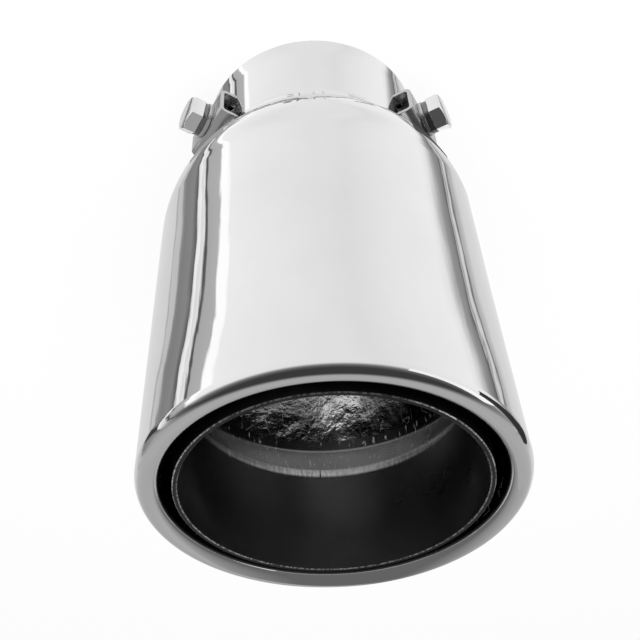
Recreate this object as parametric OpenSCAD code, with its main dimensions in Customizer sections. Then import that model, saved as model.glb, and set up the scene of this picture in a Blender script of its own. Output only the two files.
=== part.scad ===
// Bolt-on exhaust tip, straight cut, with a rolled lip and an inner tube.
// It stands on its inlet: the axis is Z, the mouth faces up and the origin is
// the centre of the inlet's rear edge.

/* [Barrel] */
// Outer diameter of the barrel
barrel_d = 90; // [86:1:100]
// Length of the barrel, from the front of the lip to the shoulder
barrel_len = 81.5; // [70:0.5:110]
// Thickness of the shell's sheet
shell_wall = 1.5; // [1:0.1:2]
// Outer radius of the rolled lip
lip_r = 2.9; // [2.4:0.1:3.2]
// Length of the lip's edge that runs back into the mouth
lip_tail = 2; // [1:0.5:4]

/* [Shoulder and neck] */
// Outer radius of the shoulder's convex bend
shoulder_r = 42; // [30:1:44]
// Outer radius of the neck's hollow bend
neck_r = 9; // [6:0.5:14]

/* [Inlet] */
// Bore of the inlet sleeve
inlet_bore = 65; // [60:0.5:68]
// Straight length of the inlet sleeve
sleeve_len = 27.5; // [24:0.5:40]
// Rounding of the sleeve's rear edge
rim_round = 0.8; // [0.4:0.1:0.9]

/* [Inner tube] */
// Gap between the lip and the inner tube
mouth_gap = 2.7; // [2:0.1:3.4]
// Thickness of the inner tube's sheet
liner_wall = 1.2; // [0.8:0.1:1.5]
// Depth of the inner tube's front edge below the lip
liner_recess = 1; // [0.4:0.1:3]
// Depth below the lip at which the inner tube starts to flare
flare_depth = 29; // [22:0.5:40]
// Slope of the flare, from the axis
flare_angle = 32; // [25:1:45]
// Smaller radius of the flare's two bends
flare_bend = 2.5; // [2:0.1:3.5]
// Length of the flare's foot, which is welded to the shell
foot_len = 3; // [2:0.5:6]

/* [Saddles] */
// Angle between the two front clamp bolts
bolt_spread = 120; // [100:5:130]
// Width of a saddle along the sleeve
saddle_w = 10.8; // [10.6:0.1:13]
// Length of a saddle round the sleeve
saddle_len = 19; // [16:0.5:21]
// Height of a saddle's outer face above the sleeve
saddle_rise = 4.2; // [3.8:0.1:6]
// Thickness of a saddle's sheet
saddle_wall = 1.2; // [1:0.1:1.4]
// Outer radius of a saddle's two bends
saddle_bend = 2; // [1.8:0.1:2.6]
// Distance from a saddle to the start of the neck's bend
saddle_setback = 0.2; // [0.2:0.1:4]
// How far each end of the slot under a saddle stops short of the saddle's end
slot_inset = 1; // [0.2:0.1:1.4]

/* [Clamp bolts] */
// Thread diameter of the clamp bolts
bolt_d = 6; // [5:0.5:6]
// Width across the flats of a bolt's head
head_af = 10; // [9:0.5:11]
// Height of a bolt's head
head_h = 4; // [3.5:0.1:4.5]
// Gap left between a bolt's tip and the bore
tip_gap = 0.4; // [0.2:0.1:1]
// Clearance of a bolt in its holes, on the diameter
bolt_clearance = 0.6; // [0.4:0.1:1]
// Outer diameter of a plain washer
washer_d = 10.8; // [10:0.2:12.4]
// Thickness of a plain washer
washer_t = 1.2; // [0.8:0.1:1.6]
// Outer diameter of a spring washer
lock_d = 10.2; // [9.6:0.2:11.8]
// Thickness of a spring washer
lock_t = 1.6; // [1.2:0.1:2]
// Width of a spring washer's split
lock_split = 1.2; // [0.8:0.1:1.6]
// Length of a clamp nut round the sleeve
nut_len = 12; // [10:0.5:14]
// Thickness of a clamp nut
nut_t = 3; // [2.6:0.1:3.4]
// Gap between a clamp nut and the saddle's sides
nut_gap = 0.2; // [0.1:0.05:0.4]

/* [Hidden] */
$fn = 120;

// Cutters run this far past the faces they cut
over = 1;

// Shell
barrel_r = barrel_d / 2;
bore_r = inlet_bore / 2;
sleeve_r = bore_r + shell_wall;
// The shoulder and the neck are two arcs that meet at this slope
bend_angle = acos(1 - (barrel_r - sleeve_r) / (shoulder_r + neck_r));
shoulder_z = sleeve_len + (shoulder_r + neck_r) * sin(bend_angle);
tip_len = shoulder_z + barrel_len;
lip_z = tip_len - lip_r;

// Inner tube
liner_r = barrel_r - 2 * lip_r - mouth_gap;
foot_r = barrel_r - shell_wall;
liner_top = tip_len - liner_recess;
flare_z = tip_len - flare_depth;
// The flare's cone spans what its two bends leave of the step
wide_bend = flare_bend + liner_wall;
cone_len = (foot_r - liner_r - (flare_bend + wide_bend) * (1 - cos(flare_angle)))
    / sin(flare_angle);
foot_z = flare_z - (flare_bend + wide_bend) * sin(flare_angle) - cone_len * cos(flare_angle);
bend_steps = 8;

// Saddles and bolts, as distances from the axis
channel_w = saddle_w - 2 * saddle_wall;
saddle_top = sleeve_r + saddle_rise;
saddle_under = saddle_top - saddle_wall;
bolt_z = sleeve_len - saddle_setback - saddle_w / 2;
hole_r = (bolt_d + bolt_clearance) / 2;
lock_x = saddle_top + washer_t;
head_x = lock_x + lock_t;
bolt_tip_x = bore_r + tip_gap;
// Hexagon heads are chamfered at the usual 30 degrees
head_chamfer = 30;
head_corner_r = head_af / 2 / cos(30);
head_flat_r = 0.475 * head_af;
tip_chamfer = 0.6;
// Where the saddles' feet end on the sleeve, at the saddles' ends
foot_x = sqrt(pow(sleeve_r, 2) - pow(saddle_len / 2, 2));
// Turns of the spring washers' splits round their bolts
right_split = 35;
back_split = 140;
left_split = 172;
// Turns of the bolts' heads, as they were left when the bolts were tightened
right_turn = 43;
back_turn = 30;
left_turn = 8;
nut_edge = 0.5;

right_angle_at = -90 + bolt_spread / 2;
left_angle_at = -90 - bolt_spread / 2;
back_angle_at = 90;

// Points on an arc round [x, y], from angle a to angle b
function arc(x, y, r, a, b) = [
    for (i = [0 : bend_steps])
        let (t = a + (b - a) * i / bend_steps)
            [x + r * cos(t), y + r * sin(t)]
];

// Half section of the tip, from the axis out to the shell's surface moved
// inwards by inset, between the heights rear and front
module tip_section(inset, rear, front) {
    r_sleeve = sleeve_r - inset;
    r_barrel = barrel_r - inset;
    r_shoulder = shoulder_r - inset;
    r_neck = neck_r + inset;
    turn_z = sleeve_len + r_neck * sin(bend_angle);
    turn_r = r_sleeve + r_neck * (1 - cos(bend_angle));
    translate([0, rear])
        square([r_sleeve, front - rear]);
    difference() {
        translate([0, sleeve_len])
            square([turn_r, front - sleeve_len]);
        translate([r_sleeve + r_neck, sleeve_len])
            circle(r_neck);
    }
    intersection() {
        translate([0, turn_z])
            square([r_barrel, front - turn_z]);
        translate([r_barrel - r_shoulder, shoulder_z])
            circle(r_shoulder);
    }
    translate([0, shoulder_z])
        square([r_barrel, front - shoulder_z]);
}

// What the rounding takes off the rear edge of the sleeve
module rim_corner() {
    difference() {
        translate([sleeve_r - rim_round, -over])
            square([rim_round + over, rim_round + over]);
        translate([sleeve_r - rim_round, rim_round])
            circle(rim_round);
    }
}

// The hollow behind the rolled lip, and the mouth inside the lip's edge
module lip_hollow() {
    roll_r = lip_r - shell_wall;
    tail_z = lip_z - lip_tail;
    translate([barrel_r - lip_r, lip_z])
        circle(roll_r);
    translate([barrel_r - lip_r - roll_r, tail_z - over])
        square([2 * roll_r, lip_tail + over]);
    translate([0, tail_z - over])
        square([barrel_r - 2 * lip_r, lip_r + lip_tail + 2 * over]);
}

// Turns a part of the clamping gear to its place: X points out of the sleeve
module at_bolt(angle) {
    rotate([0, 0, angle])
        translate([0, 0, bolt_z])
            children();
}

// A straight round bar along X
module bar(r, from, to) {
    translate([from, 0, 0])
        rotate([0, 90, 0])
            cylinder(r = r, h = to - from);
}

// Slot in the sleeve under a saddle, with round ends
module saddle_slot() {
    reach = saddle_len / 2 - slot_inset - channel_w / 2;
    translate([bore_r - 2 * over, -reach, -channel_w / 2])
        cube([shell_wall + 4 * over, 2 * reach, channel_w]);
    for (side = [-1, 1])
        translate([0, side * reach, 0])
            bar(channel_w / 2, bore_r - 2 * over, sleeve_r + 2 * over);
}

// Sheet rolled, spun and flanged in one piece
module outer_shell() {
    color("gainsboro")
        difference() {
            rotate_extrude()
                difference() {
                    union() {
                        tip_section(0, 0, lip_z);
                        translate([barrel_r - lip_r, lip_z])
                            circle(lip_r);
                        translate([0, lip_z - over])
                            square([barrel_r - lip_r, lip_r]);
                    }
                    tip_section(shell_wall, -over, lip_z - lip_tail);
                    lip_hollow();
                    rim_corner();
                }
            for (angle = [right_angle_at, back_angle_at, left_angle_at])
                at_bolt(angle)
                    saddle_slot();
        }
}

module inner_liner() {
    inner_r = liner_r - liner_wall;
    foot_in = foot_r - liner_wall;
    outer_side = concat(
        [[liner_r, liner_top]],
        arc(liner_r + flare_bend, flare_z, flare_bend, 180, 180 + flare_angle),
        arc(foot_r - wide_bend, foot_z, wide_bend, flare_angle, 0),
        [[foot_r, foot_z - foot_len]]
    );
    inner_side = concat(
        [[foot_in, foot_z - foot_len]],
        arc(foot_in - flare_bend, foot_z, flare_bend, 0, flare_angle),
        arc(inner_r + wide_bend, flare_z, wide_bend, 180 + flare_angle, 180),
        [[inner_r, liner_top]]
    );
    color("dimgray")
        rotate_extrude()
            polygon(concat(outer_side, inner_side));
}

// Outline of a channel, open towards the axis, with two rounded corners
module channel(from, to, w, r) {
    translate([from, -w / 2])
        square([to - r - from, w]);
    translate([from, -w / 2 + r])
        square([to - from, w - 2 * r]);
    for (side = [-1, 1])
        translate([to - r, side * (w / 2 - r)])
            circle(r);
}

// A bent channel whose legs are cut to the sleeve's curve
module saddle(angle) {
    color("silver")
        at_bolt(angle)
            difference() {
                rotate([90, 0, 0])
                    linear_extrude(saddle_len, center = true)
                        difference() {
                            channel(foot_x - over, saddle_top, saddle_w, saddle_bend);
                            channel(foot_x - 2 * over, saddle_under, channel_w,
                                saddle_bend - saddle_wall);
                        }
                cylinder(r = sleeve_r, h = saddle_w + 2 * over, center = true);
                bar(hole_r, saddle_under - over, saddle_top + over);
            }
}

// The clamp nut is a small threaded block that the saddle keeps from turning
module clamp_nut(angle) {
    nut_w = channel_w - 2 * nut_gap;
    color("darkgray")
        at_bolt(angle)
            difference() {
                rotate([90, 0, 0])
                    linear_extrude(nut_len, center = true)
                        channel(saddle_under - nut_t, saddle_under, nut_w, nut_edge);
                bar(bolt_d / 2, saddle_under - nut_t - over, saddle_under + over);
            }
}

module flat_washer(angle) {
    color("lightgray")
        at_bolt(angle)
            difference() {
                bar(washer_d / 2, saddle_top, lock_x);
                bar(hole_r, saddle_top - over, lock_x + over);
            }
}

module lock_washer(angle, split_turn) {
    color("gray")
        at_bolt(angle)
            difference() {
                bar(lock_d / 2, lock_x, head_x);
                bar(hole_r, lock_x - over, head_x + over);
                rotate([split_turn, 0, 0])
                    translate([lock_x - over, 0, -lock_split / 2])
                        cube([lock_t + 2 * over, lock_d, lock_split]);
            }
}

module bolt(angle, head_turn) {
    drop = (head_corner_r - head_flat_r) * tan(head_chamfer);
    color("whitesmoke")
        at_bolt(angle)
            rotate([0, 90, 0]) {
                translate([0, 0, head_x])
                    intersection() {
                        rotate([0, 0, head_turn])
                            cylinder(r = head_corner_r, h = head_h, $fn = 6);
                        rotate_extrude()
                            polygon([
                                [0, 0],
                                [head_corner_r + over, 0],
                                [head_corner_r + over, head_h - drop],
                                [head_corner_r, head_h - drop],
                                [head_flat_r, head_h],
                                [0, head_h]
                            ]);
                    }
                translate([0, 0, bolt_tip_x + tip_chamfer])
                    cylinder(r = bolt_d / 2, h = head_x - bolt_tip_x - tip_chamfer);
                translate([0, 0, bolt_tip_x])
                    cylinder(r1 = bolt_d / 2 - tip_chamfer, r2 = bolt_d / 2, h = tip_chamfer);
            }
}

outer_shell();
inner_liner();
saddle(right_angle_at);  // saddle_right
saddle(back_angle_at);  // saddle_back
saddle(left_angle_at);  // saddle_left
clamp_nut(right_angle_at);  // clamp_nut_right
clamp_nut(back_angle_at);  // clamp_nut_back
clamp_nut(left_angle_at);  // clamp_nut_left
flat_washer(right_angle_at);  // flat_washer_right
flat_washer(back_angle_at);  // flat_washer_back
flat_washer(left_angle_at);  // flat_washer_left
lock_washer(right_angle_at, right_split);  // lock_washer_right
lock_washer(back_angle_at, back_split);  // lock_washer_back
lock_washer(left_angle_at, left_split);  // lock_washer_left
bolt(right_angle_at, right_turn);  // bolt_right
bolt(back_angle_at, back_turn);  // bolt_back
bolt(left_angle_at, left_turn);  // bolt_left
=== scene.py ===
from math import acos, cos, pi, radians, sin

import bmesh
import bpy
from mathutils import Matrix, Vector


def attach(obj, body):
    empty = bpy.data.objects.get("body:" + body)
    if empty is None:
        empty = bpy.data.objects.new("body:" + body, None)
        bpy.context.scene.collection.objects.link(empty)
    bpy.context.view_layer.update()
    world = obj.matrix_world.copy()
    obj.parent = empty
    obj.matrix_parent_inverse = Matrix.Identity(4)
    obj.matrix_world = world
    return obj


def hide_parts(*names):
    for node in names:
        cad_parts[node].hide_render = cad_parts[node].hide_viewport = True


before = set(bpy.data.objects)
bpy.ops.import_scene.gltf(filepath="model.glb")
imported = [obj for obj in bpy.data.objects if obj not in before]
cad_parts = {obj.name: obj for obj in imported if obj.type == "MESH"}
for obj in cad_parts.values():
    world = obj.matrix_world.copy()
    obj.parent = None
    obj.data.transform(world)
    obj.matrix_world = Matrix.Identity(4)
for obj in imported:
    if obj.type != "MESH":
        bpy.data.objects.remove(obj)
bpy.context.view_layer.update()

MM = 0.001

# Shell, in metres, with the axis along Z and the inlet at the bottom
BARREL_R = 45.0 * MM
SHEET = 1.5 * MM
BORE_R = 32.5 * MM
SLEEVE_R = BORE_R + SHEET
SLEEVE_LEN = 27.5 * MM
SHOULDER_BEND = 42.0 * MM
NECK_BEND = 9.0 * MM
BARREL_LEN = 81.5 * MM
LIP_R = 2.9 * MM
LIP_TAIL = 2.0 * MM
RIM_ROUND = 0.8 * MM
SLOPE = acos(1 - (BARREL_R - SLEEVE_R) / (SHOULDER_BEND + NECK_BEND))
SHOULDER_Z = SLEEVE_LEN + (SHOULDER_BEND + NECK_BEND) * sin(SLOPE)
TIP_LEN = SHOULDER_Z + BARREL_LEN
LIP_Z = TIP_LEN - LIP_R
# The height at which the neck's wrinkles are full, fade and end
WRINKLES_FULL = SLEEVE_LEN + 3 * MM
WRINKLES_FADE = SLEEVE_LEN + 15 * MM
WRINKLES_END = SLEEVE_LEN + 20 * MM
# The painted highlight inside the shell: the place across the tip where it is brightest, and its
# reach
PAINTED_HIGHLIGHT_X = 15.0 * MM
PAINTED_HIGHLIGHT_REACH = 24.0 * MM

# Inner tube
MOUTH_GAP = 2.7 * MM
TUBE_R = BARREL_R - 2 * LIP_R - MOUTH_GAP
TUBE_SHEET = 1.2 * MM
TUBE_SETBACK = 1.0 * MM
TUBE_TOP = TIP_LEN - TUBE_SETBACK
FLARE_DEPTH = 29.0 * MM
FLARE_Z = TIP_LEN - FLARE_DEPTH
SAWN_BURR = 0.22 * MM
FLARE_SLOPE = radians(32)
TIGHT_BEND = 2.5 * MM
WIDE_BEND = TIGHT_BEND + TUBE_SHEET
SEAM_X = 0.6 * MM
SEAM_HALF = 0.2 * MM
# The flare's dull finish, and the painted highlight on its bend, reach this far up the tube
FLARE_OVERLAP = 1.0 * MM
FOOT_R = BARREL_R - SHEET
FOOT_LEN = 3.0 * MM
BOTH_BENDS = TIGHT_BEND + WIDE_BEND
FLARE_RUN = (FOOT_R - TUBE_R - BOTH_BENDS * (1 - cos(FLARE_SLOPE))) / sin(FLARE_SLOPE)
FOOT_Z = FLARE_Z - BOTH_BENDS * sin(FLARE_SLOPE) - FLARE_RUN * cos(FLARE_SLOPE)

# Saddles and the slots under them, with the bolts' turns round the tip in degrees
SADDLE_W = 10.8 * MM
SADDLE_LEN = 19.0 * MM
SADDLE_SHEET = 1.2 * MM
CHANNEL_W = SADDLE_W - 2 * SADDLE_SHEET
SLOT_INSET = 1.0 * MM
CUT_DEPTH = 10.0 * MM
SADDLE_SETBACK = 0.2 * MM
BOLT_Z = SLEEVE_LEN - SADDLE_SETBACK - SADDLE_W / 2
SEATS = {"right": -30.0, "back": 90.0, "left": 210.0}

# Steps round the axis, the angle past which an edge stays sharp, in degrees,
# and the distance under which points are one
SHELL_STEPS = 256
TUBE_STEPS = 384
SHARP_EDGE = 35
SAME_POINT = 1e-7


# ---------------------------------------------------------------- sheet work
def start_outline(bm, x, z):
    return bm.verts.new((x, 0, z))


def run_to(bm, end, x, z, steps=1):
    start = end.co.copy()
    for step in range(1, steps + 1):
        made = bmesh.ops.extrude_vert_indiv(bm, verts=[end])
        end = made["verts"][0]
        end.co = start.lerp(Vector((x, 0, z)), step / steps)
    return end


def bend_round(bm, end, x, z, turn, steps):
    made = bmesh.ops.spin(bm, geom=[end], cent=(x, 0, z), axis=(0, -1, 0),
                          angle=turn, steps=steps)
    return [g for g in made["geom_last"] if isinstance(g, bmesh.types.BMVert)][0]


def close_outline(bm, end, start):
    bm.edges.new((end, start))


def turn_outline(bm, steps):
    """Turns the outline round the tip's axis into a closed wall."""
    bmesh.ops.remove_doubles(bm, verts=bm.verts, dist=SAME_POINT)
    bmesh.ops.spin(bm, geom=bm.verts[:] + bm.edges[:], cent=(0, 0, 0), axis=(0, 0, 1),
                   angle=2 * pi, steps=steps, use_merge=True)
    bmesh.ops.remove_doubles(bm, verts=bm.verts, dist=SAME_POINT)
    bmesh.ops.recalc_face_normals(bm, faces=bm.faces)


def finish_piece(name, bm, materials):
    mesh = bpy.data.meshes.new(name)
    bm.to_mesh(mesh)
    bm.free()
    mesh.shade_smooth()
    mesh.set_sharp_from_angle(angle=radians(SHARP_EDGE))
    piece = bpy.data.objects.new(name, mesh)
    bpy.context.scene.collection.objects.link(piece)
    for material in materials:
        mesh.materials.append(material)
    return piece


def fit_piece(piece, node):
    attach(piece, "root")
    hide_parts(node)


def apply_modifiers(piece):
    ready = piece.evaluated_get(bpy.context.evaluated_depsgraph_get())
    mesh = bpy.data.meshes.new_from_object(ready)
    piece.modifiers.clear()
    old = piece.data
    piece.data = mesh
    mesh.name = piece.name
    bpy.data.meshes.remove(old)
    mesh.shade_smooth()
    mesh.set_sharp_from_angle(angle=radians(SHARP_EDGE))


def at_seat(angle):
    """Places a thing modelled beside the axis, along X, at a bolt."""
    return Matrix.Rotation(radians(angle), 4, "Z") @ Matrix.Translation((0, 0, BOLT_Z))


# ---------------------------------------------------------------- materials
def new_material(name):
    material = bpy.data.materials.new(name)
    material.use_nodes = True
    shader = material.node_tree.nodes["Principled BSDF"]
    return material, material.node_tree, shader


def noise_over(tree, vector, scale, detail):
    grain = tree.nodes.new("ShaderNodeTexNoise")
    grain.inputs["Scale"].default_value = scale
    grain.inputs["Detail"].default_value = detail
    tree.links.new(vector, grain.inputs["Vector"])
    return grain


def noise_on_part(tree, scale, detail, stretch=(1, 1, 1), roughness=0.5, distortion=0.0):
    place = tree.nodes.new("ShaderNodeTexCoord")
    fit = tree.nodes.new("ShaderNodeMapping")
    fit.inputs["Scale"].default_value = stretch
    tree.links.new(place.outputs["Object"], fit.inputs["Vector"])
    grain = noise_over(tree, fit.outputs["Vector"], scale, detail)
    grain.inputs["Roughness"].default_value = roughness
    grain.inputs["Distortion"].default_value = distortion
    return grain.outputs["Fac"]


def span(tree, value, low, high, out_low, out_high):
    node = tree.nodes.new("ShaderNodeMapRange")
    node.inputs["From Min"].default_value = low
    node.inputs["From Max"].default_value = high
    node.inputs["To Min"].default_value = out_low
    node.inputs["To Max"].default_value = out_high
    tree.links.new(value, node.inputs["Value"])
    return node.outputs["Result"]


def grey_between(tree, value, dark, light):
    mix = tree.nodes.new("ShaderNodeMix")
    mix.data_type = "RGBA"
    mix.inputs["A"].default_value = (dark, dark, dark, 1)
    mix.inputs["B"].default_value = (light, light, light, 1)
    tree.links.new(value, mix.inputs["Factor"])
    return mix.outputs["Result"]


def bump_from(tree, shader, value, distance, under=None):
    """Raises the surface by value; distance is in metres. It lies over another
    bump where under names that one's normal."""
    bump = tree.nodes.new("ShaderNodeBump")
    bump.inputs["Distance"].default_value = distance
    tree.links.new(value, bump.inputs["Height"])
    if under is not None:
        tree.links.new(under, bump.inputs["Normal"])
    tree.links.new(bump.outputs["Normal"], shader.inputs["Normal"])
    return bump.outputs["Normal"]


def steel(name, dark, light, smooth, rough):
    """Bare metal with cloudy tone and gloss."""
    material, tree, shader = new_material(name)
    shader.inputs["Metallic"].default_value = 1.0
    clouds = noise_on_part(tree, 60, 3)
    tree.links.new(grey_between(tree, span(tree, clouds, 0.3, 0.7, 0, 1), dark, light),
                   shader.inputs["Base Color"])
    tree.links.new(span(tree, clouds, 0.3, 0.7, smooth, rough), shader.inputs["Roughness"])
    return material, tree, shader


def maths(tree, operation, first, second=None):
    node = tree.nodes.new("ShaderNodeMath")
    node.operation = operation
    for socket, value in zip(node.inputs, (first, second)):
        if isinstance(value, (int, float)):
            socket.default_value = value
        elif value is not None:
            tree.links.new(value, socket)
    return node.outputs[0]


def place_on_part(tree):
    place = tree.nodes.new("ShaderNodeTexCoord")
    axes = tree.nodes.new("ShaderNodeSeparateXYZ")
    tree.links.new(place.outputs["Object"], axes.inputs["Vector"])
    return axes.outputs


def polished_shell_material():
    """Mirror polish over faint dents, with the wrinkles of forming in the neck."""
    material, tree, shader = steel("polished shell", 0.80, 0.83, 0.012, 0.03)
    dents = noise_on_part(tree, 22, 2, (1, 1, 0.8))
    low = bump_from(tree, shader, dents, 0.00002)
    height = place_on_part(tree)["Z"]
    rise = span(tree, height, SLEEVE_LEN, WRINKLES_FULL, 0, 1)
    fall = span(tree, height, WRINKLES_FADE, WRINKLES_END, 1, 0)
    wrinkles = maths(tree, "MULTIPLY", noise_on_part(tree, 130, 3, (1, 1, 0.5)),
                     maths(tree, "MULTIPLY", rise, fall))
    low = bump_from(tree, shader, wrinkles, 0.0004, under=low)
    haze = noise_on_part(tree, 500, 3)
    bump_from(tree, shader, haze, 0.0000002, under=low)
    return material


def matt_where(tree, shader, share, under_tone, matt_tone):
    """Turns the metal dull and pale where share is 1, for scratches and for painted highlights.
    """
    tree.links.new(maths(tree, "SUBTRACT", 1.0, share), shader.inputs["Metallic"])
    mix = tree.nodes.new("ShaderNodeMix")
    mix.data_type = "RGBA"
    mix.inputs["B"].default_value = (matt_tone, matt_tone, matt_tone, 1)
    tree.links.new(share, mix.inputs["Factor"])
    tree.links.new(under_tone, mix.inputs["A"])
    tree.links.new(mix.outputs["Result"], shader.inputs["Base Color"])


def raw_inside_material():
    """Creased, half-bright sheet with fine curled scratches, and a mottled tone that carries a
    painted highlight towards +X.
    """
    material, tree, shader = steel("unpolished inside of the shell", 0.4, 0.72, 0.08, 0.2)
    creases = noise_on_part(tree, 48, 6, (1, 1, 0.8), 0.58, 0.2)
    bump_from(tree, shader, creases, 0.001)
    lines = noise_on_part(tree, 110, 2, (1, 1, 0.8), 0.5, 1.2)
    off_line = maths(tree, "ABSOLUTE", maths(tree, "SUBTRACT", lines, 0.5))
    curls = maths(tree, "LESS_THAN", off_line, 0.0025)
    patches = span(tree, noise_on_part(tree, 45, 2), 0.4, 0.55, 0, 0.7)
    # Painted highlight: the mottled tone is lifted near the given X and lowered further from it.
    off_painted_highlight = maths(tree, "ABSOLUTE",
                      maths(tree, "SUBTRACT", place_on_part(tree)["X"], PAINTED_HIGHLIGHT_X))
    painted_highlight_bias = span(tree, off_painted_highlight, 0, PAINTED_HIGHLIGHT_REACH, 0.1, -0.08)
    cloud = maths(tree, "ADD", noise_on_part(tree, 34, 5, (1, 1, 1), 0.6), painted_highlight_bias)
    mottle_and_painted_highlight = span(tree, cloud, 0.45, 0.56, 0, 1)
    tone = grey_between(tree, mottle_and_painted_highlight, 0.24, 0.85)
    matt_where(tree, shader, maths(tree, "MULTIPLY", curls, patches), tone, 0.45)
    return material


def tube_material():
    material, tree, shader = steel("drawn inner tube", 0.2, 0.24, 0.27, 0.35)
    draw_marks = noise_on_part(tree, 420, 3, (1, 1, 0.05))
    low = bump_from(tree, shader, draw_marks, 0.0000035)
    dents = noise_on_part(tree, 30, 2, (1, 1, 0.8))
    bump_from(tree, shader, dents, 0.00004, under=low)
    return material


def scratched_bend_material():
    """The flare, dull and marked along the axis, with a painted highlight on its bend."""
    material, tree, shader = steel("scratched flare", 0.2, 0.26, 0.2, 0.32)
    places = place_on_part(tree)
    round_it = maths(tree, "MULTIPLY", maths(tree, "ARCTAN2", places["X"], places["Y"]), TUBE_R)
    along = tree.nodes.new("ShaderNodeCombineXYZ")
    tree.links.new(round_it, along.inputs["X"])
    tree.links.new(maths(tree, "MULTIPLY", places["Z"], 0.16), along.inputs["Z"])
    scratches = noise_over(tree, along.outputs["Vector"], 1500, 2).outputs["Fac"]
    marks = span(tree, scratches, 0.62, 0.69, 0, 0.8)
    streaks = span(tree, scratches, 0.3, 0.6, 0.55, 1)
    # Painted highlight: a pale, dull band round the bend, streaked and fainter towards the sides.
    rise = span(tree, places["Z"], FLARE_Z - 2.3 * MM, FLARE_Z - 1.7 * MM, 0, 1)
    fall = span(tree, places["Z"], FLARE_Z + 0.2 * MM, FLARE_Z + FLARE_OVERLAP, 1, 0)
    painted_bend_highlight = maths(tree, "MULTIPLY", maths(tree, "MULTIPLY", rise, fall), streaks)
    aside = maths(tree, "ABSOLUTE", places["X"])
    painted_bend_highlight = maths(tree, "MULTIPLY", painted_bend_highlight, span(tree, aside, 9 * MM, 30 * MM, 1, 0.3))
    off_seam = maths(tree, "ABSOLUTE", maths(tree, "SUBTRACT", places["X"], SEAM_X))
    seam = maths(tree, "LESS_THAN", off_seam, SEAM_HALF)
    dull = maths(tree, "MULTIPLY", maths(tree, "MAXIMUM", marks, painted_bend_highlight),
                 maths(tree, "SUBTRACT", 1.0, seam))
    tone = grey_between(tree, noise_on_part(tree, 60, 3), 0.11, 0.2)
    matt_where(tree, shader, dull, tone, 0.5)
    bump_from(tree, shader, marks, 0.00004)
    return material


def cut_face_material():
    return steel("sawn edge of the inner tube", 0.03, 0.06, 0.35, 0.5)[0]


def burr_material():
    material, tree, shader = steel("bright burr", 0.55, 0.9, 0.25, 0.4)
    beads = noise_on_part(tree, 1500, 2)
    tree.links.new(grey_between(tree, span(tree, beads, 0.42, 0.58, 0, 1), 0.2, 1.0),
                   shader.inputs["Base Color"])
    bump_from(tree, shader, beads, 0.0001)
    return material


def saddle_material():
    material, tree, shader = steel("satin saddle sheet", 0.52, 0.6, 0.2, 0.3)
    roll_marks = noise_on_part(tree, 700, 3, (1, 1, 0.2))
    bump_from(tree, shader, roll_marks, 0.000005)
    return material


def bolt_material():
    material, tree, shader = steel("bright bolt steel", 0.78, 0.84, 0.05, 0.09)
    bump_from(tree, shader, noise_on_part(tree, 300, 2), 0.000001)
    return material


def washer_material():
    material, tree, shader = steel("bright washer steel", 0.5, 0.62, 0.1, 0.2)
    bump_from(tree, shader, noise_on_part(tree, 900, 3), 0.000006)
    return material


def spring_material():
    material, tree, shader = steel("dark spring steel", 0.16, 0.24, 0.1, 0.2)
    bump_from(tree, shader, noise_on_part(tree, 900, 3), 0.000006)
    return material


def nut_material():
    material, tree, shader = steel("plain nut steel", 0.12, 0.2, 0.3, 0.45)
    bump_from(tree, shader, noise_on_part(tree, 800, 3), 0.00001)
    return material


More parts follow.
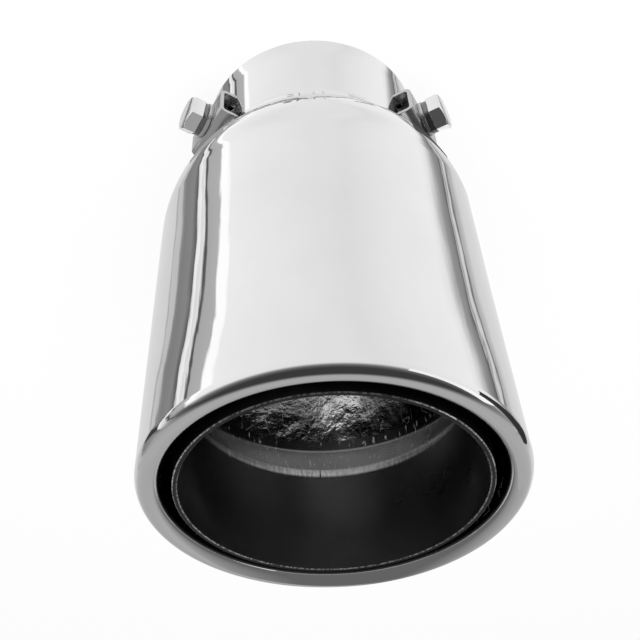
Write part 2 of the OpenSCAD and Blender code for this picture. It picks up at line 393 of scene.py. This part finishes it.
# ---------------------------------------------------------------- the pieces
def make_shell(polished, inside):
    bm = bmesh.new()
    start = start_outline(bm, SLEEVE_R - RIM_ROUND, 0)
    end = bend_round(bm, start, SLEEVE_R - RIM_ROUND, RIM_ROUND, pi / 2, 6)
    end = run_to(bm, end, SLEEVE_R, SLEEVE_LEN, 4)
    end = bend_round(bm, end, SLEEVE_R + NECK_BEND, SLEEVE_LEN, -SLOPE, 16)
    end = bend_round(bm, end, BARREL_R - SHOULDER_BEND, SHOULDER_Z, SLOPE, 32)
    end = run_to(bm, end, BARREL_R, LIP_Z, 4)
    end = bend_round(bm, end, BARREL_R - LIP_R, LIP_Z, pi, 32)
    end = run_to(bm, end, BARREL_R - 2 * LIP_R, LIP_Z - LIP_TAIL)
    end = run_to(bm, end, BARREL_R - 2 * LIP_R + SHEET, LIP_Z - LIP_TAIL)
    end = run_to(bm, end, BARREL_R - 2 * LIP_R + SHEET, LIP_Z)
    end = bend_round(bm, end, BARREL_R - LIP_R, LIP_Z, -pi, 12)
    end = run_to(bm, end, BARREL_R - SHEET, SHOULDER_Z, 4)
    end = bend_round(bm, end, BARREL_R - SHOULDER_BEND, SHOULDER_Z, -SLOPE, 24)
    end = bend_round(bm, end, SLEEVE_R + NECK_BEND, SLEEVE_LEN, SLOPE, 10)
    end = run_to(bm, end, BORE_R, 0, 4)
    close_outline(bm, end, start)
    turn_outline(bm, SHELL_STEPS)
    for face in bm.faces:
        middle = face.calc_center_median()
        out = Vector((middle.x, middle.y, 0)).normalized()
        facing_in = face.normal.dot(out) < 0.05 and middle.z < LIP_Z - LIP_TAIL / 2
        face.material_index = 1 if facing_in and middle.z > 0 else 0
    shell = finish_piece("shell", bm, [polished, inside])

    cutters = []
    for angle in SEATS.values():
        cut = bmesh.new()
        reach = SADDLE_LEN / 2 - SLOT_INSET - CHANNEL_W / 2
        bmesh.ops.create_circle(cut, cap_ends=True, radius=CHANNEL_W / 2, segments=48)
        for vert in cut.verts:
            vert.co.y += reach if vert.co.y > 0 else -reach
        made = bmesh.ops.extrude_face_region(cut, geom=cut.faces[:])
        top = [g for g in made["geom"] if isinstance(g, bmesh.types.BMVert)]
        bmesh.ops.translate(cut, verts=top, vec=(0, 0, CUT_DEPTH))
        bmesh.ops.recalc_face_normals(cut, faces=cut.faces)
        lay = Matrix.Translation((BORE_R - CUT_DEPTH / 2, 0, 0)) @ Matrix.Rotation(pi / 2, 4, "Y")
        bmesh.ops.transform(cut, verts=cut.verts, matrix=at_seat(angle) @ lay)
        cutters.append(finish_piece("slot cutter", cut, [polished]))
        slots = shell.modifiers.new("slot", "BOOLEAN")
        slots.object = cutters[-1]
        slots.operation = "DIFFERENCE"
        slots.solver = "EXACT"
    apply_modifiers(shell)
    for cutter in cutters:
        bpy.data.objects.remove(cutter)
    fit_piece(shell, "outer_shell")


def make_inner_tube(drawn, flare, face, burr_steel):
    bm = bmesh.new()
    tube_in = TUBE_R - TUBE_SHEET
    foot_in = FOOT_R - TUBE_SHEET
    start = start_outline(bm, TUBE_R, TUBE_TOP - SAWN_BURR)
    end = run_to(bm, start, TUBE_R, FLARE_Z, 24)
    end = bend_round(bm, end, TUBE_R + TIGHT_BEND, FLARE_Z, FLARE_SLOPE, 8)
    end = run_to(bm, end, FOOT_R - WIDE_BEND * (1 - cos(FLARE_SLOPE)),
                 FOOT_Z + WIDE_BEND * sin(FLARE_SLOPE), 6)
    end = bend_round(bm, end, FOOT_R - WIDE_BEND, FOOT_Z, -FLARE_SLOPE, 8)
    end = run_to(bm, end, FOOT_R, FOOT_Z - FOOT_LEN)
    end = run_to(bm, end, foot_in, FOOT_Z - FOOT_LEN)
    end = run_to(bm, end, foot_in, FOOT_Z)
    end = bend_round(bm, end, foot_in - TIGHT_BEND, FOOT_Z, FLARE_SLOPE, 8)
    end = run_to(bm, end, tube_in + WIDE_BEND * (1 - cos(FLARE_SLOPE)),
                 FLARE_Z - WIDE_BEND * sin(FLARE_SLOPE), 6)
    end = bend_round(bm, end, tube_in + WIDE_BEND, FLARE_Z, -FLARE_SLOPE, 8)
    end = run_to(bm, end, tube_in, TUBE_TOP - SAWN_BURR, 24)
    end = run_to(bm, end, tube_in + SAWN_BURR, TUBE_TOP)
    end = run_to(bm, end, TUBE_R - SAWN_BURR, TUBE_TOP)
    close_outline(bm, end, start)
    turn_outline(bm, TUBE_STEPS)
    for side in bm.faces:
        height = side.calc_center_median().z
        if height > TUBE_TOP - 0.001 * MM:
            side.material_index = 2
        elif height > TUBE_TOP - SAWN_BURR:
            side.material_index = 3
        elif height < FLARE_Z + FLARE_OVERLAP:
            side.material_index = 1
    tube = finish_piece("inner_tube", bm, [drawn, flare, face, burr_steel])
    fit_piece(tube, "inner_liner")


def dress_from_cad(name, node, material, rounding):
    """A piece of the clamping gear, taken from its solid, with its edges broken."""
    bm = bmesh.new()
    bm.from_mesh(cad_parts[node].data)
    bmesh.ops.remove_doubles(bm, verts=bm.verts, dist=0.002 * MM)
    bmesh.ops.dissolve_limit(bm, angle_limit=radians(1), verts=bm.verts, edges=bm.edges)
    piece = finish_piece(name, bm, [material])
    edge = piece.modifiers.new("broken edges", "BEVEL")
    edge.width = rounding
    edge.segments = 3
    edge.limit_method = "ANGLE"
    edge.angle_limit = radians(40)
    edge.harden_normals = False
    apply_modifiers(piece)
    fit_piece(piece, node)


# ---------------------------------------------------------------- build
polished = polished_shell_material()
inside = raw_inside_material()
make_shell(polished, inside)
make_inner_tube(tube_material(), scratched_bend_material(), cut_face_material(), burr_material())
satin = saddle_material()
bright = bolt_material()
washer = washer_material()
spring = spring_material()
plain = nut_material()
for side in SEATS:
    dress_from_cad("saddle_piece_" + side, "saddle_" + side, satin, 0.2 * MM)
    dress_from_cad("nut_piece_" + side, "clamp_nut_" + side, plain, 0.15 * MM)
    dress_from_cad("plain_washer_piece_" + side, "flat_washer_" + side, washer,
                   0.15 * MM)
    dress_from_cad("spring_washer_piece_" + side, "lock_washer_" + side, spring,
                   0.15 * MM)
    dress_from_cad("bolt_piece_" + side, "bolt_" + side, bright, 0.18 * MM)


# ---------------------------------------------------------------- studio
def seen_by(tree, *rays):
    """1 for the kinds of ray named, 0 for all others."""
    path = tree.nodes.new("ShaderNodeLightPath")
    found = path.outputs[rays[0]]
    for ray in rays[1:]:
        found = maths(tree, "MAXIMUM", found, path.outputs[ray])
    return found


def blend_shaders(tree, share, first, second):
    mix = tree.nodes.new("ShaderNodeMixShader")
    tree.links.new(share, mix.inputs["Fac"])
    tree.links.new(first, mix.inputs[1])
    tree.links.new(second, mix.inputs[2])
    return mix.outputs["Shader"]


def glow_over(tree, under, share, strength):
    """Lays a plain glow over a surface, for the rays that share picks."""
    glow = tree.nodes.new("ShaderNodeEmission")
    glow.inputs["Strength"].default_value = strength
    return blend_shaders(tree, share, under, glow.outputs["Emission"])


def pale_floor_material(name, white_share, mirrored):
    """A pale floor that the camera sees as nearly white, and that mirrors see
    either as a plain glow or, with none given, not at all."""
    material, tree, shader = new_material(name)
    shader.inputs["Base Color"].default_value = (0.86, 0.86, 0.86, 1)
    grain = noise_on_part(tree, 300, 2)
    tree.links.new(span(tree, grain, 0.3, 0.7, 0.85, 0.95), shader.inputs["Roughness"])
    surface = shader.outputs["BSDF"]
    if white_share:
        share = maths(tree, "MULTIPLY", seen_by(tree, "Is Camera Ray", "Is Transmission Ray"),
                      white_share)
        surface = glow_over(tree, surface, share, 1.0)
    if mirrored is None:
        clear = tree.nodes.new("ShaderNodeBsdfTransparent")
        surface = blend_shaders(tree, seen_by(tree, "Is Glossy Ray"), surface,
                                clear.outputs["BSDF"])
    else:
        surface = glow_over(tree, surface, seen_by(tree, "Is Glossy Ray"), mirrored)
    tree.links.new(surface, tree.nodes["Material Output"].inputs["Surface"])
    return material


# The floor reaches this many times as far as the inlet's bore
FLOOR_SPREAD = 120


def lay_floor():
    """The pale floor, with a patch of its own under the open inlet."""
    bm = bmesh.new()
    bmesh.ops.create_circle(bm, cap_ends=False, radius=BORE_R, segments=96)
    made = bmesh.ops.extrude_edge_only(bm, edges=bm.edges[:])
    rim = [g for g in made["geom"] if isinstance(g, bmesh.types.BMVert)]
    bmesh.ops.scale(bm, verts=rim, vec=(FLOOR_SPREAD, FLOOR_SPREAD, 1))
    bmesh.ops.recalc_face_normals(bm, faces=bm.faces)
    floor = finish_piece("floor", bm, [pale_floor_material("pale floor", 0.9, None)])
    inner = bmesh.new()
    bmesh.ops.create_circle(inner, cap_ends=True, radius=BORE_R, segments=96)
    patch = finish_piece("floor in the inlet", inner,
                         [pale_floor_material("pale floor in the inlet", 0.0, 1.0)])


def card_material(name, brightness):
    material = bpy.data.materials.new(name)
    material.use_nodes = True
    tree = material.node_tree
    tree.nodes.remove(tree.nodes["Principled BSDF"])
    clouds = noise_on_part(tree, 2, 2)
    glow = tree.nodes.new("ShaderNodeEmission")
    tree.links.new(grey_between(tree, clouds, brightness * 0.8, brightness * 1.2),
                   glow.inputs["Color"])
    tree.links.new(glow.outputs["Emission"], tree.nodes["Material Output"].inputs["Surface"])
    return material


# The cards stand this far from a point on the axis, in metres
CARD_REACH = 1.5
CARD_STEPS = 8
CARD_CENTRE_Z = 0.13


def out_there(turn, rise, reach):
    """A point round the tip: turn is the angle from the front, rise the height
    angle, both in degrees."""
    flat = reach * cos(radians(rise))
    return Vector((flat * sin(radians(turn)), -flat * cos(radians(turn)),
                   CARD_CENTRE_Z + reach * sin(radians(rise))))


def hide_card(card):
    """A card shows in reflections only."""
    card.visible_camera = False
    card.visible_diffuse = False
    card.visible_shadow = False
    card.visible_transmission = False


def put_card(name, brightness, turns, rises):
    """A card round the tip that shows in reflections only. It is a strip bent
    round the axis, between two turns and, at each end, two rises."""
    def spot(share, side):
        turn = turns[0] + (turns[1] - turns[0]) * share
        rise = rises[0][side] + (rises[1][side] - rises[0][side]) * share
        return out_there(turn, rise, CARD_REACH)

    bm = bmesh.new()
    end = bm.verts.new(spot(0, 0))
    for step in range(1, CARD_STEPS + 1):
        made = bmesh.ops.extrude_vert_indiv(bm, verts=[end])
        end = made["verts"][0]
        end.co = spot(step / CARD_STEPS, 0)
    row = bm.verts[:]
    made = bmesh.ops.extrude_edge_only(bm, edges=bm.edges[:])
    lifted = [g for g in made["geom"] if isinstance(g, bmesh.types.BMVert)]
    for vert in lifted:
        below = min(row, key=lambda other: (other.co - vert.co).length)
        vert.co = spot(row.index(below) / CARD_STEPS, 1)
    hide_card(finish_piece(name, bm, [card_material(name, brightness)]))


# Tones of the flags at the lip, by the place across them in millimetres
LIP_FLAG_TONES = [(-75, 0.46), (-44, 0.42), (-33, 0.31), (-20, 0.15), (6, 0.15), (20, 0.29),
                  (32, 0.45)]
# Dark cards under the tip, seen in reflections only, which its neck mirrors off
# the sleeve as dark streaks: a tone, two turns from the front in degrees and two
# reaches from the axis in millimetres
NECK_MIRRORED_CARDS = [(0.25, (14.3, 16.5), (36, 46)), (0.28, (20.5, 27.5), (40, 46)),
              (0.3, (-0.9, 0.3), (37, 46)), (0.3, (-11.8, -10.6), (37, 46)),
              (0.3, (-38, -62), (43, 47))]
NECK_CARDS_Z = -50
# A flag's tones are given up to this far on both sides of the axis, in millimetres
FLAG_SPAN = 100


def hang_flag(name, tones, corners, seat=Matrix.Identity(4), soft_edge=0):
    """A small flag close to the tip, with its corners in millimetres. A soft edge,
    in millimetres too, fades it out below and at both sides."""
    bm = bmesh.new()
    bmesh.ops.create_circle(bm, cap_ends=True, radius=1, segments=4)
    for vert, corner in zip(bm.verts, corners):
        vert.co = seat @ (Vector(corner) * MM)
    material = bpy.data.materials.new(name)
    material.use_nodes = True
    tree = material.node_tree
    tree.nodes.remove(tree.nodes["Principled BSDF"])
    glow = tree.nodes.new("ShaderNodeEmission")
    across = maths(tree, "DIVIDE", place_on_part(tree)["X"], MM)
    tree.links.new(ramp(tree, across, tones, -FLAG_SPAN, FLAG_SPAN), glow.inputs["Color"])
    surface = glow.outputs["Emission"]
    if soft_edge:
        sides = [corner[0] for corner in corners]
        lowest = min(corner[2] for corner in corners)
        up = maths(tree, "DIVIDE", place_on_part(tree)["Z"], MM)
        shown = span(tree, up, lowest, lowest + soft_edge, 0, 1)
        for edge, inward in ((min(sides), soft_edge), (max(sides), -soft_edge)):
            faded = span(tree, across, edge, edge + inward, 0, 1)
            shown = maths(tree, "MULTIPLY", shown, faded)
        clear = tree.nodes.new("ShaderNodeBsdfTransparent")
        surface = blend_shaders(tree, shown, clear.outputs["BSDF"], surface)
    tree.links.new(surface, tree.nodes["Material Output"].inputs["Surface"])
    hide_card(finish_piece(name, bm, [material]))


def plain_tone(tone):
    return [(-FLAG_SPAN, tone), (FLAG_SPAN, tone)]


def put_cards():
    put_card("white card on the right", 1.1, (-38, -90), ((2, 19), (9, 29)))
    put_card("black flag on the right", 0.04, (-78, -120), ((-13, 8), (-22, 14)))
    put_card("black flag on the left", 0.05, (104, 123), ((-16, 0), (-32, -20)))
    hang_flag("grey flag over the lip", LIP_FLAG_TONES,
              [(-50, 12, 150), (34, 12, 150), (24, 46, 150), (-50, 82, 150)])
    hang_flag("grey flag behind the lip", LIP_FLAG_TONES,
              [(-75, 78, 120), (-4, 78, 120), (-4, 78, 150), (-75, 78, 150)], soft_edge=14)
    for number, (tone, turns, reaches) in enumerate(NECK_MIRRORED_CARDS):
        corners = [(turns[0], reaches[0]), (turns[1], reaches[0]),
                   (turns[1], reaches[1]), (turns[0], reaches[1])]
        hang_flag("dark card mirrored in the neck %d" % number, plain_tone(tone),
                  [(reach * sin(radians(turn)), -reach * cos(radians(turn)), NECK_CARDS_Z)
                   for turn, reach in corners])
    for side, tone in (("right", 0.4), ("left", 0.09)):
        hang_flag("flag over the clamp " + side, plain_tone(tone),
                  [(34.9, -9.5, 8), (45.6, -9.5, 8), (45.6, 9.5, 8), (34.9, 9.5, 8)],
                  at_seat(SEATS[side]))


def soft_box(name, place, aim, width, height, watts):
    light = bpy.data.lights.new(name, "AREA")
    light.shape = "RECTANGLE"
    light.size = width
    light.size_y = height
    light.energy = watts
    lamp = bpy.data.objects.new(name, light)
    bpy.context.scene.collection.objects.link(lamp)
    lamp.location = place
    lamp.rotation_euler = (Vector(aim) - Vector(place)).to_track_quat("-Z", "Y").to_euler()
    lamp.visible_glossy = False
    return lamp


def ramp(tree, value, stops, low, high):
    """A graded tone: stops are pairs of a place between low and high and a tone."""
    fit = span(tree, value, low, high, 0, 1)
    node = tree.nodes.new("ShaderNodeValToRGB")
    elements = node.color_ramp.elements
    while len(elements) < len(stops):
        elements.new(1.0)
    for number, (where, tone) in enumerate(stops):
        elements[number].position = (where - low) / (high - low)
        elements[number].color = (tone, tone, tone, 1)
    tree.links.new(fit, node.inputs["Fac"])
    return node.outputs["Color"]


def either_tone(tree, share, first, second):
    mix = tree.nodes.new("ShaderNodeMix")
    mix.data_type = "RGBA"
    tree.links.new(share, mix.inputs["Factor"])
    tree.links.new(first, mix.inputs["A"])
    tree.links.new(second, mix.inputs["B"])
    return mix.outputs["Result"]


# Tones of the studio round the tip, by the angle from its front in degrees:
# white sheets with dark gaps between them
LEFT_TONES = [(0, 0.9), (40, 0.97), (66, 1.02), (68, 1.2), (73.5, 1.2), (75, 0.52),
              (85, 0.47), (86, 0.1), (88, 0.12), (89.5, 0.95), (92, 0.8), (93, 1.05), (96, 0.9),
              (97, 0.12), (99.5, 0.2), (102, 0.28), (112, 0.25), (115, 0.3), (117, 0.6),
              (122, 0.62), (123, 0.42), (125, 0.73), (150, 0.76), (166, 0.8), (172, 0.35),
              (180, 0.3)]
RIGHT_TONES = [(0, 0.9), (16, 0.87), (50, 0.97), (78, 1.0), (84, 0.92), (89, 0.62), (93, 0.36),
               (99, 0.24), (100.5, 0.1), (101.5, 0.62), (103, 0.3), (104, 0.75), (106, 0.7),
               (107, 0.12), (109, 0.5), (113, 0.58), (118, 0.74), (142, 0.82), (147, 1.05),
               (160, 1.2), (166, 1.1), (172, 0.35), (180, 0.3)]
# How far the gaps lean away from the front, in degrees, by the height angle
MOST_LEAN = 60.0
LEAN = [(-90, 50), (-68, 45), (-62, 26), (-58, 9), (-55, 4), (-51, 3), (-48, 0), (-43, 0),
        (-38, 6), (-30, 9), (0, 9)]
# Share of the upper room, by the height angle, and the upper room's tones from
# its front to its back
RISE = [(-30, 0), (-8, 0), (4, 0.05), (10, 0.35), (18, 0.75), (30, 0.93), (44, 1), (90, 1)]
# Towards its back the room comes this much lower, in degrees
BACK_DROP = 24
ROOM = [(-1, 0.05), (0, 0.05), (0.14, 0.16), (0.34, 0.44), (0.7, 0.47), (1, 0.42)]


def studio_world():
    """A soft grey room for light, a white one for the camera, and for mirrors the
    sheets and gaps of a studio, by the direction in which they are seen."""
    world = bpy.data.worlds.new("studio")
    bpy.context.scene.world = world
    world.use_nodes = True
    tree = world.node_tree
    sky = tree.nodes["Background"]
    sky.inputs["Color"].default_value = (0.75, 0.75, 0.75, 1)
    sky.inputs["Strength"].default_value = 0.6
    place = tree.nodes.new("ShaderNodeTexCoord")
    axes = tree.nodes.new("ShaderNodeSeparateXYZ")
    tree.links.new(place.outputs["Generated"], axes.inputs["Vector"])
    back = maths(tree, "MULTIPLY", axes.outputs["Y"], -1.0)
    turn = maths(tree, "MULTIPLY", maths(tree, "ARCTAN2", axes.outputs["X"], back), 180 / pi)
    rise = maths(tree, "MULTIPLY", maths(tree, "ARCSINE", axes.outputs["Z"]), 180 / pi)
    ripple = noise_over(tree, place.outputs["Generated"], 7, 6).outputs["Fac"]
    fine_ripple = noise_over(tree, place.outputs["Generated"], 26, 3).outputs["Fac"]
    wave = maths(tree, "ADD", span(tree, ripple, 0.25, 0.75, -2.5, 2.5),
                 span(tree, fine_ripple, 0.3, 0.7, -0.7, 0.7))
    lean_stops = [(height, lean / MOST_LEAN) for height, lean in LEAN]
    lean = maths(tree, "MULTIPLY", ramp(tree, rise, lean_stops, -90, 90), MOST_LEAN)
    upright = maths(tree, "SUBTRACT", maths(tree, "ABSOLUTE", turn), lean)
    from_front = maths(tree, "ADD", upright, wave)
    left = ramp(tree, from_front, LEFT_TONES, 0, 180)
    right = ramp(tree, from_front, RIGHT_TONES, 0, 180)
    sheets = either_tone(tree, maths(tree, "LESS_THAN", turn, 0.0), left, right)
    room = ramp(tree, axes.outputs["Y"], ROOM, -1, 1)
    behind = span(tree, axes.outputs["Y"], 0.45, 0.9, 0, BACK_DROP)
    upper = ramp(tree, maths(tree, "ADD", rise, behind), RISE, -90, 90)
    mirror_tone = either_tone(tree, upper, sheets, room)
    mirrored = tree.nodes.new("ShaderNodeBackground")
    tree.links.new(mirror_tone, mirrored.inputs["Color"])
    white = tree.nodes.new("ShaderNodeBackground")
    white.inputs["Color"].default_value = (1, 1, 1, 1)
    surface = blend_shaders(tree, seen_by(tree, "Is Glossy Ray"), sky.outputs["Background"],
                            mirrored.outputs["Background"])
    surface = blend_shaders(tree, seen_by(tree, "Is Camera Ray", "Is Transmission Ray"), surface,
                            white.outputs["Background"])
    tree.links.new(surface, tree.nodes["World Output"].inputs["Surface"])


# The camera as fitted to the photograph, measured with the tip lying down:
# focal length and principal point in pixels of the frame, place in mm
FRAME_PX, SENSOR = 640, 36
FOCAL_PX, CENTRE_X, CENTRE_Y = 921.69, 272.0, 272.0
SIDEWAYS, ALONG, HEIGHT = -13.472, -113.33, 181.47
TILT, ROLL = 0.7727, 0.00798


def set_camera():
    right = Vector((-1, 0, 0))
    down = Vector((0, cos(TILT), sin(TILT)))
    ahead = Vector((0, sin(TILT), -cos(TILT)))
    across = right * cos(ROLL) + down * sin(ROLL)
    below = down * cos(ROLL) - right * sin(ROLL)
    data = bpy.data.cameras.new("camera")
    data.sensor_width = SENSOR
    data.lens = FOCAL_PX * SENSOR / FRAME_PX
    data.shift_x = (FRAME_PX / 2 - CENTRE_X) / FRAME_PX
    data.shift_y = (CENTRE_Y - FRAME_PX / 2) / FRAME_PX
    data.clip_start = 0.01
    camera = bpy.data.objects.new("camera", data)
    bpy.context.scene.collection.objects.link(camera)
    pose = Matrix((across, -below, -ahead)).transposed().to_4x4()
    pose.translation = Vector((-SIDEWAYS, -HEIGHT, TIP_LEN / MM - ALONG)) * MM
    camera.matrix_world = pose
    bpy.context.scene.camera = camera


bpy.context.scene.view_settings.view_transform = "Standard"
lay_floor()
put_cards()
studio_world()
soft_box("overhead box", (0, -0.5, 0.9), (0, 0, 0.07), 0.8, 0.8, 12)
set_camera()
